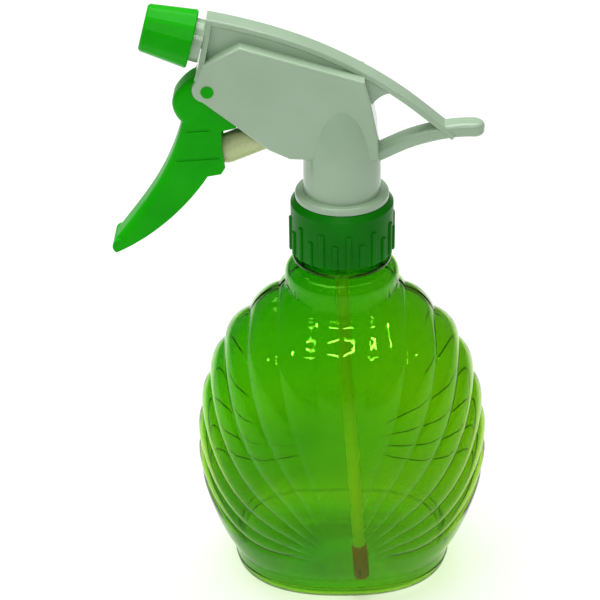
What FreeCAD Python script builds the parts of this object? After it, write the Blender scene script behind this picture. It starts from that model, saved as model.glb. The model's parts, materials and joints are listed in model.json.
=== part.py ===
import FreeCAD, Part
import math
import os

# Hand mister: a scallop-shell bottle with a trigger pump head.
# Millimetres, +Z up, origin at the centre of the bottle's base.
# The nozzle sprays towards -X, and the plane Y = 0 is the head's plane of symmetry.

V = FreeCAD.Vector
UP = V(0, 0, 1)
ACROSS = V(0, 1, 0)

# ---------------------------------------------------------------- driving sizes
# bottle
BOTTLE_HALF_WIDTH = 50.2
BOTTLE_HALF_DEPTH = 35.5
BELLY_Z = 50.0
RISE_WIDE = 71.0            # vertical semi-axis of the upper outline, seen from the front
RISE_DEEP = 73.0            # the same, seen from the side
SHELL_TOP_TURN = 76.0       # degrees round the upper outline at which the boss takes over
FALL_WIDE = 62.0            # vertical semi-axis of the lower outline
FALL_DEEP = 74.0
FOOT_HEIGHT = 10.0
FOOT_HALF_WIDTH = 38.0
FOOT_HALF_DEPTH = 29.6
FOOT_ROUNDING = 6.0
FOOT_SQUARENESS = 2.4       # exponent of the oval at the foot; a plain ellipse is 2
SQUARENESS_FADE = 16.0      # height over which the oval above the foot turns into an ellipse
WALL = 0.9
BASE_THICKNESS = 1.2
PUSH_UP = (26.0, 17.0, 7.0)  # half width, half depth and height of the raised middle of the base
BOSS_RADIUS = 19.0
BOSS_LOW_Z = 98.0
BOSS_TOP_Z = 121.2
BOSS_ROUNDING = 4.2

# 28 mm screw neck
NECK_RADIUS = 12.6
NECK_BORE = 10.9
MOUTH_Z = 140.0
SUPPORT_RING_RADIUS = 16.4
SUPPORT_RING_Z = 123.0
SUPPORT_RING_THICKNESS = 1.4
NECK_PITCH = 25.4 / 6
NECK_TURNS = 1.5
NECK_THREAD_Z = 129.6
NECK_SPLIT_Z = 116.0        # height at which the bottle's moulding is divided into two nodes

# screw collar
COLLAR_Z = 126.0
COLLAR_TOP_Z = 145.4
COLLAR_RADIUS = 16.9
COLLAR_BORE = 14.1
COLLAR_ROOF = 2.0
COLLAR_HOLE = 12.5
RIB_COUNT = 24
RIB_RADIUS = 17.55
RIB_WIDTH = 1.7
RIB_TOP_LONG_Z = 138.7
RIB_TOP_SHORT_Z = 135.2
SWIVEL_CLEARANCE = 0.2

# head
STEM_RADIUS = 12.65
STEM_SHOULDER_Z = 155.0
DOME_RISE = 32.0
FLANGE_RADIUS = 15.4
FLANGE_THICKNESS = 2.2
HUB_RADIUS = 12.2
HUB_LOW_Z = 141.4
STEM_BORE = 8.0
STEM_BORE_TOP_Z = 160.0
CHEEK_HALF = 8.5
CAVITY_HALF = 6.6
WEB_HALF = 3.2
SPINE_HALF = 4.0
SPINE_THICKNESS = 2.0
BEAK_THICKNESS = 4.6
BEAK_HALF = 3.6
BEAK_ROUNDING = 1.5
BEAK_TIP_X = 45.7
CHANNEL_RADIUS = 1.5

# trigger
PIVOT = V(-42.2, 0, 185.7)
PIVOT_HOLE = 2.05
PIN_RADIUS = 2.0
PIN_HALF = 8.7
TRIGGER_HALF = 6.2
TRIGGER_CHANNEL_HALF = 5.15
TRIGGER_FRONT_ROUNDING = 3.0
LEVER_BACK_Z = 145.0        # the lever's back has its middle below this height, its front above
SOCKET_RADIUS = 5.3

# pump, measured along its own tilted axis from PUMP_ORIGIN
PUMP_ORIGIN = V(-38.0, 0, 162.0)
PUMP_TILT = 23.0
PLUNGER_RADIUS = 4.85
PLUNGER_BORE = 3.7
NOSE_S = 1.35
PLUNGER_BORE_S = 7.0
PLUNGER_END_S = 24.0
SEAL_S = (20.5, 22.5)
SEAL_GROOVE_RADIUS = 4.2
SEAL_RADIUS = 5.10
CYLINDER_BORE = 5.15
CYLINDER_RADIUS = 6.2
CYLINDER_S = (18.5, 38.0)
CHAMBER_END_S = 36.0
SEAT_WASHER_RADIUS = 4.9
SEAT_WASHER_THICKNESS = 1.3
SPRING_MEAN_RADIUS = 2.9
SPRING_WIRE_RADIUS = 0.4
SPRING_COILS = 9

# nozzle, measured along its own tilted axis from NOZZLE_ORIGIN
NOZZLE_ORIGIN = V(-43.9, 0, 199.35)
NOZZLE_TILT = 15.0
BARREL_COLLAR_RADIUS = 6.85
BARREL_COLLAR_T = 4.2
BARREL_RADIUS = 5.4
BARREL_END_T = 13.0
SPIGOT_RADIUS = 2.3
SPIGOT_T = -8.0
VALVE_SEAT_T = 1.5
VALVE_BORE = 2.9
VALVE_SPRING_MEAN_RADIUS = 1.9
VALVE_SPRING_WIRE_RADIUS = 0.32
VALVE_SPRING_COILS = 5
SWIRL_T = (9.0, 12.8)
NOZZLE_PITCH = 2.5
CAP_T = (3.0, 18.8)
CAP_REAR_RADIUS = 9.4
CAP_FRONT_RADIUS = 7.5
CAP_SIDES = 12
CAP_WALL_T = 15.6

# suction side
TUBE_RADIUS = 2.15
TUBE_BORE = 1.3
TUBE_TOP_Z = 146.0
TUBE_BEND_Z = 128.0
TUBE_BEND_RADIUS = 230.0
TUBE_LEAN = 14.5            # degrees away from vertical at its lower end
TUBE_HEADING = -73.0        # compass direction of that lean, about Z from +X
TUBE_STRAIGHT = 61.0
FILTER_RADIUS = 2.75
FILTER_LENGTH = 12.0
FILTER_OVERLAP = 7.0
FILTER_BORE = 1.7
FILTER_HOLE = 0.8
VALVE_HOUSING_Z = (131.0, 160.0)
BALL_RADIUS = 2.5
BALL_SEAT_Z = 148.0
BALL_SEAT_HOLE = 1.4
BALL_CHAMBER = 3.0


# ---------------------------------------------------------------- small helpers
def cylinder(radius, length, base=V(0, 0, 0), axis=UP):
    return Part.makeCylinder(radius, length, base, axis)


def ring(inner, outer, length, base=V(0, 0, 0), axis=UP):
    return cylinder(outer, length, base, axis).cut(cylinder(inner, length, base, axis))


def side_wire(points):
    """Closed straight-sided outline in the XZ plane."""
    corners = [V(x, 0, z) for x, z in points]
    return Part.makePolygon(corners + [corners[0]])


def prism(wire, half_width):
    """An XZ outline given width, symmetric about Y = 0."""
    face = Part.Face(wire)
    face.translate(V(0, -half_width, 0))
    return face.extrude(V(0, 2 * half_width, 0))


def rounded_prism(wire, half_width, radius, shortest=0.0):
    """The same with its two outlines rounded, apart from edges shorter than a length."""
    solid = prism(wire, half_width)
    rims = [edge for edge in solid.Edges
            if abs(edge.CenterOfMass.y) > half_width - 1e-6 and edge.Length > shortest]
    return solid.makeFillet(radius, rims)


def spline(points):
    curve = Part.BSplineCurve()
    curve.interpolate([V(x, 0, z) for x, z in points])
    return curve


def offset_points(points, distance):
    """Points moved sideways from a path in the XZ plane, to the right of its direction."""
    moved = []
    for i, (x, z) in enumerate(points):
        before = points[max(i - 1, 0)]
        after = points[min(i + 1, len(points) - 1)]
        dx = after[0] - before[0]
        dz = after[1] - before[1]
        length = math.hypot(dx, dz)
        moved.append((x + distance * dz / length, z - distance * dx / length))
    return moved


def strip_wire(points, thickness):
    """A bent strip seen edge on: the path is its upper edge."""
    upper = spline(points)
    lower = spline(offset_points(points, thickness))
    a, b = upper.StartPoint, upper.EndPoint
    c, d = lower.StartPoint, lower.EndPoint
    edges = [upper.toShape(), Part.makeLine(b, d), lower.toShape(), Part.makeLine(c, a)]
    return Part.Wire(Part.__sortEdges__(edges))


def revolve(points, base=V(0, 0, 0), axis=UP, radial=V(1, 0, 0)):
    """Solid of revolution from (radius, height) corners about an axis through base."""
    corners = [base + radial * r + axis * h for r, h in points]
    face = Part.Face(Part.makePolygon(corners + [corners[0]]))
    return face.revolve(base, axis, 360)


def rounded_corner(centre_r, centre_h, radius, start, stop, steps=8):
    """(radius, height) points along a round corner, from one angle to another in degrees."""
    angles = [math.radians(start + (stop - start) * i / steps) for i in range(steps + 1)]
    return [(centre_r + radius * math.cos(a), centre_h + radius * math.sin(a)) for a in angles]


def screw_thread(root, crest, root_half, crest_half, pitch, turns):
    """One helical ridge about Z, starting at height 0 on +X; root to crest may point in or out."""
    spine = Part.makeHelix(pitch, pitch * turns, root)
    buried = root - math.copysign(0.25, crest - root)
    corners = [V(buried, 0, -root_half), V(root, 0, -root_half), V(crest, 0, -crest_half),
               V(crest, 0, crest_half), V(root, 0, root_half), V(buried, 0, root_half)]
    profile = Part.makePolygon(corners + [corners[0]])
    return Part.Wire(spine.Edges).makePipeShell([profile], True, True)


def coil_spring(mean_radius, wire_radius, length, coils):
    """Round-wire coil about Z between height 0 and length."""
    travel = length - 2 * wire_radius
    spine = Part.makeHelix(travel / coils, travel, mean_radius)
    start = V(mean_radius, 0, 0)
    out, up = V(wire_radius, 0, 0), V(0, 0, wire_radius)
    top_half = Part.Arc(start + out, start + up, start - out)
    low_half = Part.Arc(start - out, start - up, start + out)
    profile = Part.Wire([top_half.toShape(), low_half.toShape()])
    coil = Part.Wire(spine.Edges).makePipeShell([profile], True, True)
    coil.translate(V(0, 0, wire_radius))
    return coil


def along(origin, direction, distance):
    return origin + direction * distance


def place_on_axis(shape, origin, direction):
    """Move a shape built about +Z so that +Z runs along direction from origin."""
    shape.Placement = FreeCAD.Placement(origin, FreeCAD.Rotation(UP, direction)).multiply(shape.Placement)
    return shape


PUMP_AXIS = V(math.cos(math.radians(PUMP_TILT)), 0, math.sin(math.radians(PUMP_TILT)))
NOZZLE_AXIS = V(-math.cos(math.radians(NOZZLE_TILT)), 0, math.sin(math.radians(NOZZLE_TILT)))


# ---------------------------------------------------------------- bottle
def oval(half_width, half_depth, power, z, count=48):
    """Closed superellipse outline at height z."""
    points = []
    for i in range(count):
        turn = 2 * math.pi * i / count
        c, s = math.cos(turn), math.sin(turn)
        x = half_width * math.copysign(abs(c) ** (2 / power), c)
        y = half_depth * math.copysign(abs(s) ** (2 / power), s)
        points.append(V(x, y, z))
    curve = Part.BSplineCurve()
    curve.interpolate(points, PeriodicFlag=True)
    return Part.Wire(curve.toShape())


def belly_section(z):
    """Half width, half depth and squareness exponent of the shell at a height."""
    if z >= BELLY_Z:
        wide, deep = RISE_WIDE, RISE_DEEP
    else:
        wide, deep = FALL_WIDE, FALL_DEEP
    half_width = BOTTLE_HALF_WIDTH * math.sqrt(1 - ((z - BELLY_Z) / wide) ** 2)
    half_depth = BOTTLE_HALF_DEPTH * math.sqrt(1 - ((z - BELLY_Z) / deep) ** 2)
    power = 2.0 + (FOOT_SQUARENESS - 2.0) * math.exp((FOOT_HEIGHT - z) / SQUARENESS_FADE)
    return half_width, half_depth, power


def shell(inset):
    """The shell's solid outline, drawn in by a wall thickness."""
    highest = math.radians(SHELL_TOP_TURN)
    lowest = math.asin((BELLY_Z - FOOT_HEIGHT) / FALL_WIDE)
    heights = [BELLY_Z - FALL_WIDE * math.sin(lowest * (5 - i) / 5) for i in range(5)]
    heights += [BELLY_Z + RISE_WIDE * math.sin(highest * i / 11) for i in range(12)]
    wires = []
    for z in heights:
        half_width, half_depth, power = belly_section(z)
        wires.append(oval(half_width - inset, half_depth - inset, power, z))
    body = Part.makeLoft(wires, True)
    foot_face = Part.Face(oval(FOOT_HALF_WIDTH - inset, FOOT_HALF_DEPTH - inset, FOOT_SQUARENESS, 0))
    foot = foot_face.extrude(V(0, 0, FOOT_HEIGHT))
    low_rim = [edge for edge in foot.Edges if abs(edge.CenterOfMass.z) < 1e-6]
    foot = foot.makeFillet(FOOT_ROUNDING - inset, low_rim)
    return body, foot


def raised_middle(extra):
    """The dome pushed up into the base."""
    dome = Part.makeSphere(1.0)
    stretch = FreeCAD.Matrix()
    stretch.scale(PUSH_UP[0] + extra, PUSH_UP[1] + extra, PUSH_UP[2] + extra)
    return dome.transformGeometry(stretch)


def bottle_boss(inset):
    """Round boss that carries the neck, as a solid of revolution."""
    radius = BOSS_RADIUS - inset
    top = BOSS_TOP_Z - inset
    corner = BOSS_ROUNDING - inset * 0.5
    points = [(0, BOSS_LOW_Z), (radius, BOSS_LOW_Z)]
    points += rounded_corner(radius - corner, top - corner, corner, 0, 90)
    points += [(0, top)]
    return revolve(points)


def whole_bottle():
    body, foot = shell(0)
    neck = cylinder(NECK_RADIUS, MOUTH_Z - BOSS_TOP_Z + 2, V(0, 0, BOSS_TOP_Z - 2))
    collar_ring = cylinder(SUPPORT_RING_RADIUS, SUPPORT_RING_THICKNESS, V(0, 0, SUPPORT_RING_Z))
    collar_ring = collar_ring.makeFillet(0.4, [collar_ring.Edges[0], collar_ring.Edges[2]])
    thread = screw_thread(NECK_RADIUS, 13.8, 1.1, 0.45, NECK_PITCH, NECK_TURNS)
    thread.translate(V(0, 0, NECK_THREAD_Z))
    solid = body.fuse(foot).fuse(bottle_boss(0)).fuse(neck).fuse(collar_ring).fuse(thread)
    solid = solid.cut(raised_middle(0))

    inner_body, inner_foot = shell(WALL)
    inner_foot.translate(V(0, 0, BASE_THICKNESS))
    floor_dome = raised_middle(BASE_THICKNESS)
    hollow = inner_body.fuse(inner_foot).fuse(bottle_boss(WALL)).cut(floor_dome)
    hollow = hollow.fuse(cylinder(NECK_BORE, MOUTH_Z + 1 - BOSS_LOW_Z, V(0, 0, BOSS_LOW_Z)))
    return solid.cut(hollow)


def slab(low, high):
    """Everything between two heights."""
    reach = 2 * BOTTLE_HALF_WIDTH
    return Part.makeBox(2 * reach, 2 * reach, high - low, V(-reach, -reach, low))


def bottle():
    """The moulding up to the boss."""
    return whole_bottle().common(slab(-1, NECK_SPLIT_Z))


def neck_finish():
    """The rest of the same moulding: boss top, support ring and threaded mouth."""
    return whole_bottle().common(slab(NECK_SPLIT_Z, MOUTH_Z + 1))


# ---------------------------------------------------------------- closure
def screw_collar():
    top = COLLAR_TOP_Z
    outline = [(COLLAR_BORE, COLLAR_Z)]
    outline += rounded_corner(COLLAR_RADIUS - 1.2, COLLAR_Z + 1.2, 1.2, -90, 0)
    outline += [(COLLAR_RADIUS, top - 1.9), (COLLAR_RADIUS - 1.4, top)]
    outline += [(COLLAR_HOLE, top), (COLLAR_HOLE, top - COLLAR_ROOF), (COLLAR_BORE, top - COLLAR_ROOF)]
    parts = [revolve(outline)]
    for i in range(RIB_COUNT):
        rib_top = RIB_TOP_LONG_Z if i % 2 == 0 else RIB_TOP_SHORT_Z
        rib_low = COLLAR_Z + 0.8
        rib = Part.makeBox(RIB_RADIUS - COLLAR_RADIUS + 1.2, RIB_WIDTH, rib_top - rib_low,
                           V(COLLAR_RADIUS - 1.2, -RIB_WIDTH / 2, rib_low))
        outer = [edge for edge in rib.Edges if edge.CenterOfMass.x > RIB_RADIUS - 0.01]
        rib = rib.makeFillet(0.5, outer)
        rib.rotate(V(0, 0, 0), UP, 360.0 * (i + 0.5) / RIB_COUNT)
        parts.append(rib)
    body = parts[0].multiFuse(parts[1:])
    body = body.cut(cylinder(COLLAR_BORE, top - COLLAR_ROOF - COLLAR_Z, V(0, 0, COLLAR_Z)))
    thread = screw_thread(COLLAR_BORE, 12.95, 1.0, 0.35, NECK_PITCH, 1.25)
    thread.translate(V(0, 0, NECK_THREAD_Z - 1.65))
    return body.fuse(thread)


def swivel_ring():
    """Snap ring under the collar's roof that keeps the collar on the head."""
    low = HUB_LOW_Z + 0.2
    return ring(HUB_RADIUS, 13.7, COLLAR_TOP_Z - COLLAR_ROOF - SWIVEL_CLEARANCE - low, V(0, 0, low))


def neck_gasket():
    return ring(9.0, 13.5, HUB_LOW_Z - MOUTH_Z, V(0, 0, MOUTH_Z))


# ---------------------------------------------------------------- head
SPINE_PATH = [(-42.0, 208.2), (-32.0, 206.0), (-22.0, 203.2), (-3.9, 196.2), (6.6, 190.7), (19.8, 182.1),
              (33.8, 170.6), (36.3, 168.5)]
BEAK_PATH = [(9.0, 162.5), (12.7, 164.3), (20.0, 167.8), (28.0, 170.4), (36.0, 171.9), (BEAK_TIP_X, 171.9)]


def cheek_wire():
    """Outline of the two cheek panels, seen from the side."""
    nose = Part.Arc(V(-46.9, 0, 187.0), V(-46.4, 0, 183.7), V(-43.9, 0, 182.0)).toShape()
    points = [(-43.9, 182.0), (-33.6, 173.7), (-23.2, 165.3), (-16.5, 162.2), (0.0, 161.6), (11.6, 161.6),
              (11.4, 170.0), (9.4, 180.0), (7.1, 189.0), (-31.7, 200.6), (-43.6, 194.4), (-46.9, 187.0)]
    corners = [V(x, 0, z) for x, z in points]
    return Part.Wire(Part.__sortEdges__([nose] + Part.makePolygon(corners).Edges))


def front_plate():
    """Thin plate between the barrel and the web, widening downwards."""
    rows = [(-42.0, 207.6, SPINE_HALF), (-44.5, 195.0, 7.0), (-46.2, 189.6, CHEEK_HALF)]
    wires = []
    for x, z, half in rows:
        corners = [V(x, -half, z), V(x + 1.8, -half, z), V(x + 1.8, half, z), V(x, half, z)]
        wires.append(Part.makePolygon(corners + [corners[0]]))
    return Part.makeLoft(wires, True, True)


def stem_and_dome():
    side = [(STEM_RADIUS, STEM_SHOULDER_Z)]
    for i in range(1, 16):
        turn = math.radians(90.0 * i / 16)
        side.append((STEM_RADIUS * math.cos(turn), STEM_SHOULDER_Z + DOME_RISE * math.sin(turn)))
    curve = spline(side + [(0.0, STEM_SHOULDER_Z + DOME_RISE)]).toShape()
    flange_low = COLLAR_TOP_Z + SWIVEL_CLEARANCE
    edge = rounded_corner(FLANGE_RADIUS - 1.1, flange_low + FLANGE_THICKNESS - 1.1, 1.1, 0, 90)
    points = [(0, HUB_LOW_Z), (HUB_RADIUS, HUB_LOW_Z)]
    points += [(HUB_RADIUS, flange_low), (FLANGE_RADIUS, flange_low)]
    points += edge + [(STEM_RADIUS, flange_low + FLANGE_THICKNESS), (STEM_RADIUS, STEM_SHOULDER_Z)]
    lower = Part.makePolygon([V(r, 0, z) for r, z in points])
    axis_edge = Part.makeLine(V(0, 0, STEM_SHOULDER_Z + DOME_RISE), V(0, 0, HUB_LOW_Z))
    wire = Part.Wire(Part.__sortEdges__(lower.Edges + [curve, axis_edge]))
    return Part.Face(wire).revolve(V(0, 0, 0), UP, 360)


def beak():
    """Finger rest behind the head, with a round end."""
    low, high = 155, 180
    blade = prism(strip_wire(BEAK_PATH, BEAK_THICKNESS), BEAK_HALF)
    tip = cylinder(BEAK_HALF, high - low, V(BEAK_TIP_X - BEAK_HALF, 0, low))
    straight = Part.makeBox(BEAK_TIP_X - BEAK_HALF, 2 * BEAK_HALF, high - low, V(0, -BEAK_HALF, low))
    blade = blade.common(tip.fuse(straight).removeSplitter())
    rims = [edge for edge in blade.Edges
            if edge.Length > 9 and abs(edge.tangentAt(edge.FirstParameter).z) < 0.95]
    return blade.makeFillet(BEAK_ROUNDING, rims)


def head_web():
    """Wall between the spine and the cheeks, with a hollow curve down to the back of the stem."""
    points = [(9.0, 170.0), (8.6, 175.0), (9.4, 178.8), (11.4, 181.2), (14.2, 182.8), (17.6, 182.6)]
    back = spline(points).toShape()
    corners = [(17.6, 182.6), (19.0, 182.2), (6.0, 189.8), (-4.2, 195.0), (-21.8, 202.0), (-31.8, 205.0),
               (-40.6, 207.0), (-43.2, 190.0), (0.0, 178.0), (0.0, 170.0), (9.0, 170.0)]
    rest = Part.makePolygon([V(x, 0, z) for x, z in corners])
    return prism(Part.Wire(Part.__sortEdges__([back] + rest.Edges)), WEB_HALF)


def head_body():
    cheeks = rounded_prism(cheek_wire(), CHEEK_HALF, 0.9)
    spine = rounded_prism(strip_wire(SPINE_PATH, SPINE_THICKNESS), SPINE_HALF, 0.5, 4.0)
    pieces = [cheeks, stem_and_dome(), spine, head_web(), front_plate(), beak()]
    solid = pieces[0].multiFuse(pieces[1:])

    trigger_room = [(-56.0, 191.2), (-37.0, 191.2), (-29.5, 183.8), (-23.7, 175.8), (-18.6, 163.6),
                    (-18.0, 156.0), (-56.0, 156.0)]
    solid = solid.cut(prism(side_wire(trigger_room), CAVITY_HALF))
    bore_start = along(PUMP_ORIGIN, PUMP_AXIS, CYLINDER_S[0] - 3)
    solid = solid.cut(cylinder(CYLINDER_RADIUS, CYLINDER_S[1] - CYLINDER_S[0] + 3, bore_start, PUMP_AXIS))
    solid = solid.cut(cylinder(STEM_BORE, STEM_BORE_TOP_Z - HUB_LOW_Z, V(0, 0, HUB_LOW_Z)))
    solid = solid.cut(cylinder(PIVOT_HOLE, 2 * CHEEK_HALF + 2, PIVOT - ACROSS * (CHEEK_HALF + 1), ACROSS))
    # intake passage up from the valve housing, and outlet passage along the web
    solid = solid.cut(cylinder(CHANNEL_RADIUS, 19.0, V(0, 0, STEM_BORE_TOP_Z)))
    port = along(PUMP_ORIGIN, PUMP_AXIS, CYLINDER_S[1])
    solid = solid.cut(cylinder(CHANNEL_RADIUS, 4.0, port, PUMP_AXIS))
    outlet_end = along(NOZZLE_ORIGIN, NOZZLE_AXIS, SPIGOT_T)
    outlet_length = outlet_end.x / NOZZLE_AXIS.x
    outlet_start = along(outlet_end, NOZZLE_AXIS, -outlet_length)
    solid = solid.cut(cylinder(CHANNEL_RADIUS, outlet_length, outlet_start, NOZZLE_AXIS))
    solid = solid.cut(cylinder(CHANNEL_RADIUS, outlet_start.z - 176.0, V(0, 0, 176.0)))
    # seat of the outlet barrel
    barrel_room = cylinder(BARREL_COLLAR_RADIUS, 8.0, NOZZLE_ORIGIN, NOZZLE_AXIS)
    spigot_room = cylinder(SPIGOT_RADIUS, -SPIGOT_T, outlet_end, NOZZLE_AXIS)
    return solid.cut(barrel_room).cut(spigot_room)


# ---------------------------------------------------------------- trigger
def trigger_wire():
    """Side outline: round-backed knuckle, notch, and a swept finger lever."""
    knuckle = spline([(-44.6, 189.7), (-48.2, 188.0), (-51.2, 185.2), (-53.7, 180.6), (-53.2, 177.0),
                      (-51.0, 173.5)])
    front = spline([(-51.0, 173.5), (-55.3, 160.7), (-60.1, 151.3), (-67.4, 140.5), (-74.1, 131.6)])
    tip = Part.Arc(V(-74.1, 0, 131.6), V(-75.2, 0, 129.3), V(-73.8, 0, 127.2)).toShape()
    back = spline([(-73.8, 127.2), (-65.6, 131.9), (-56.2, 139.4), (-48.5, 147.6), (-43.0, 155.2)])
    corners = [(-43.0, 155.2), (-38.8, 156.0), (-37.4, 158.3), (-38.4, 164.5), (-38.3, 171.2),
               (-33.6, 172.3), (-32.8, 175.0), (-37.9, 187.6)]
    heel = Part.makePolygon([V(x, 0, z) for x, z in corners])
    eye = Part.Arc(V(-37.9, 0, 187.6), V(-40.6, 0, 190.1), V(-44.6, 0, 189.7)).toShape()
    edges = [knuckle.toShape(), front.toShape(), tip, back.toShape()] + heel.Edges + [eye]
    return Part.Wire(Part.__sortEdges__(edges))


def lever_edges(solid, at_front):
    """The two outlines of the trigger's front, or of the back of its finger lever."""
    rims = [edge for edge in solid.Edges if abs(abs(edge.CenterOfMass.y) - TRIGGER_HALF) < 1e-6]
    if at_front:
        return [edge for edge in rims if edge.CenterOfMass.x < -50.5 and 15 < edge.Length
                and edge.CenterOfMass.z > LEVER_BACK_Z]
    return [edge for edge in rims if edge.Length > 30 and edge.CenterOfMass.z < LEVER_BACK_Z]


def trigger():
    solid = prism(trigger_wire(), TRIGGER_HALF)
    solid = solid.makeFillet(TRIGGER_FRONT_ROUNDING, lever_edges(solid, True))
    solid = solid.makeFillet(0.5, lever_edges(solid, False))
    # open back: the plunger's nose rests in a round socket between two side walls
    nose = along(PUMP_ORIGIN, PUMP_AXIS, NOSE_S)
    socket = cylinder(SOCKET_RADIUS, 2 * TRIGGER_CHANNEL_HALF, nose - ACROSS * TRIGGER_CHANNEL_HALF, ACROSS)
    mouth = prism(side_wire([(-40.2, 167.1), (-41.5, 171.5), (-20.0, 182.0), (-20.0, 150.0), (-36.4, 154.0),
                             (-38.2, 157.4)]), TRIGGER_CHANNEL_HALF)
    solid = solid.cut(socket).cut(mouth)
    # hollow back of the lever
    hollow = side_wire([(-46.0, 153.4), (-40.0, 150.0), (-60.0, 128.0), (-63.6, 134.6), (-54.6, 143.8)])
    solid = solid.cut(prism(hollow, TRIGGER_CHANNEL_HALF - 1.2))
    # hollow behind the knuckle
    relief = side_wire([(-46.4, 181.0), (-47.0, 175.4), (-43.4, 172.6), (-30.0, 172.6), (-30.0, 181.0)])
    solid = solid.cut(prism(relief, TRIGGER_CHANNEL_HALF - 0.6))
    pin = cylinder(PIN_RADIUS, 2 * PIN_HALF, PIVOT - ACROSS * PIN_HALF, ACROSS)
    solid = solid.fuse(pin)
    # two shallow lines moulded across each side
    for x, z, length in ((-50.2, 170.6, 8.0), (-53.6, 160.4, 14.4)):
        for side in (-1, 1):
            line = Part.makeBox(length, 0.6, 0.9, V(x, -0.3, z))
            line.rotate(V(x, 0, z), ACROSS, -4)
            line.translate(V(0, side * TRIGGER_HALF, 0))
            solid = solid.cut(line)
    return solid


# ---------------------------------------------------------------- pump
def pump_point(s):
    return along(PUMP_ORIGIN, PUMP_AXIS, s)


def plunger():
    nose = Part.makeSphere(PLUNGER_RADIUS, pump_point(NOSE_S))
    shank = cylinder(PLUNGER_RADIUS, PLUNGER_END_S - NOSE_S, pump_point(NOSE_S), PUMP_AXIS)
    groove_start = pump_point(SEAL_S[0])
    groove = ring(SEAL_GROOVE_RADIUS, PLUNGER_RADIUS + 1, SEAL_S[1] - SEAL_S[0], groove_start, PUMP_AXIS)
    bore = cylinder(PLUNGER_BORE, PLUNGER_END_S - PLUNGER_BORE_S, pump_point(PLUNGER_BORE_S), PUMP_AXIS)
    return nose.fuse(shank).cut(groove).cut(bore)


def piston_seal():
    """Ring with a lip at each end that wipes the cylinder."""
    length = SEAL_S[1] - SEAL_S[0]
    waist = SEAL_RADIUS - 0.35
    points = [(SEAL_GROOVE_RADIUS, 0), (SEAL_RADIUS, 0), (SEAL_RADIUS, 0.45), (waist, 0.8)]
    points += [(waist, length - 0.8), (SEAL_RADIUS, length - 0.45), (SEAL_RADIUS, length)]
    points += [(SEAL_GROOVE_RADIUS, length)]
    return place_on_axis(revolve(points), pump_point(SEAL_S[0]), PUMP_AXIS)


def pump_cylinder():
    length = CYLINDER_S[1] - CYLINDER_S[0]
    depth = CHAMBER_END_S - CYLINDER_S[0]
    points = [(CYLINDER_BORE + 0.4, 0), (CYLINDER_RADIUS, 0), (CYLINDER_RADIUS, length)]
    points += [(CHANNEL_RADIUS, length), (CHANNEL_RADIUS, depth), (CYLINDER_BORE, depth)]
    points += [(CYLINDER_BORE, 0.6)]
    return place_on_axis(revolve(points), pump_point(CYLINDER_S[0]), PUMP_AXIS)


def spring_seat():
    start = pump_point(CHAMBER_END_S - SEAT_WASHER_THICKNESS)
    return ring(CHANNEL_RADIUS, SEAT_WASHER_RADIUS, SEAT_WASHER_THICKNESS, start, PUMP_AXIS)


def return_spring():
    length = CHAMBER_END_S - SEAT_WASHER_THICKNESS - PLUNGER_BORE_S - 0.1
    coil = coil_spring(SPRING_MEAN_RADIUS, SPRING_WIRE_RADIUS, length, SPRING_COILS)
    return place_on_axis(coil, pump_point(PLUNGER_BORE_S + 0.05), PUMP_AXIS)


# ---------------------------------------------------------------- suction side
def valve_housing():
    """Insert in the stem: tube socket below, ball seat and chamber above."""
    low, high = VALVE_HOUSING_Z
    neck = 5.2
    points = [(TUBE_RADIUS, low), (neck - 0.5, low), (neck, low + 0.5), (neck, MOUTH_Z + 0.4),
              (STEM_BORE, HUB_LOW_Z), (STEM_BORE, high), (BALL_CHAMBER, high), (BALL_CHAMBER, BALL_SEAT_Z),
              (BALL_SEAT_HOLE, BALL_SEAT_Z), (BALL_SEAT_HOLE, TUBE_TOP_Z), (TUBE_RADIUS, TUBE_TOP_Z)]
    return revolve(points)


def intake_ball():
    lift = math.sqrt(BALL_RADIUS ** 2 - BALL_SEAT_HOLE ** 2) + 0.04
    return Part.makeSphere(BALL_RADIUS, V(0, 0, BALL_SEAT_Z + lift))


def ball_cage():
    """Plug above the ball, with a centre hole and side slots for the liquid."""
    low = 154.4
    high = VALVE_HOUSING_Z[1]
    plug = ring(CHANNEL_RADIUS, BALL_CHAMBER, high - low, V(0, 0, low))
    for i in range(3):
        slot = Part.makeBox(BALL_CHAMBER, 1.0, 2.2, V(0.5, -0.5, low))
        slot.rotate(V(0, 0, 0), UP, 120 * i)
        plug = plug.cut(slot)
    return plug


def tube_frame():
    """Bend start, heading, and the point and direction where the tube's straight length begins."""
    heading = V(math.cos(math.radians(TUBE_HEADING)), math.sin(math.radians(TUBE_HEADING)), 0)
    lean = math.radians(TUBE_LEAN)
    bend_end = V(0, 0, TUBE_BEND_Z - TUBE_BEND_RADIUS * math.sin(lean)) + heading * (
        TUBE_BEND_RADIUS * (1 - math.cos(lean)))
    direction = heading * math.sin(lean) - UP * math.cos(lean)
    return heading, bend_end, direction


def dip_tube():
    heading, bend_end, direction = tube_frame()
    half = math.radians(TUBE_LEAN / 2)
    middle = V(0, 0, TUBE_BEND_Z - TUBE_BEND_RADIUS * math.sin(half)) + heading * (
        TUBE_BEND_RADIUS * (1 - math.cos(half)))
    top = V(0, 0, TUBE_TOP_Z)
    bend_start = V(0, 0, TUBE_BEND_Z)
    end = along(bend_end, direction, TUBE_STRAIGHT)
    edges = [Part.makeLine(top, bend_start), Part.Arc(bend_start, middle, bend_end).toShape(),
             Part.makeLine(bend_end, end)]
    path = Part.Wire(edges)
    outer = path.makePipeShell([Part.Wire(Part.makeCircle(TUBE_RADIUS, top, UP))], True, False)
    inner = path.makePipeShell([Part.Wire(Part.makeCircle(TUBE_BORE, top, UP))], True, False)
    return outer.cut(inner)


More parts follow.
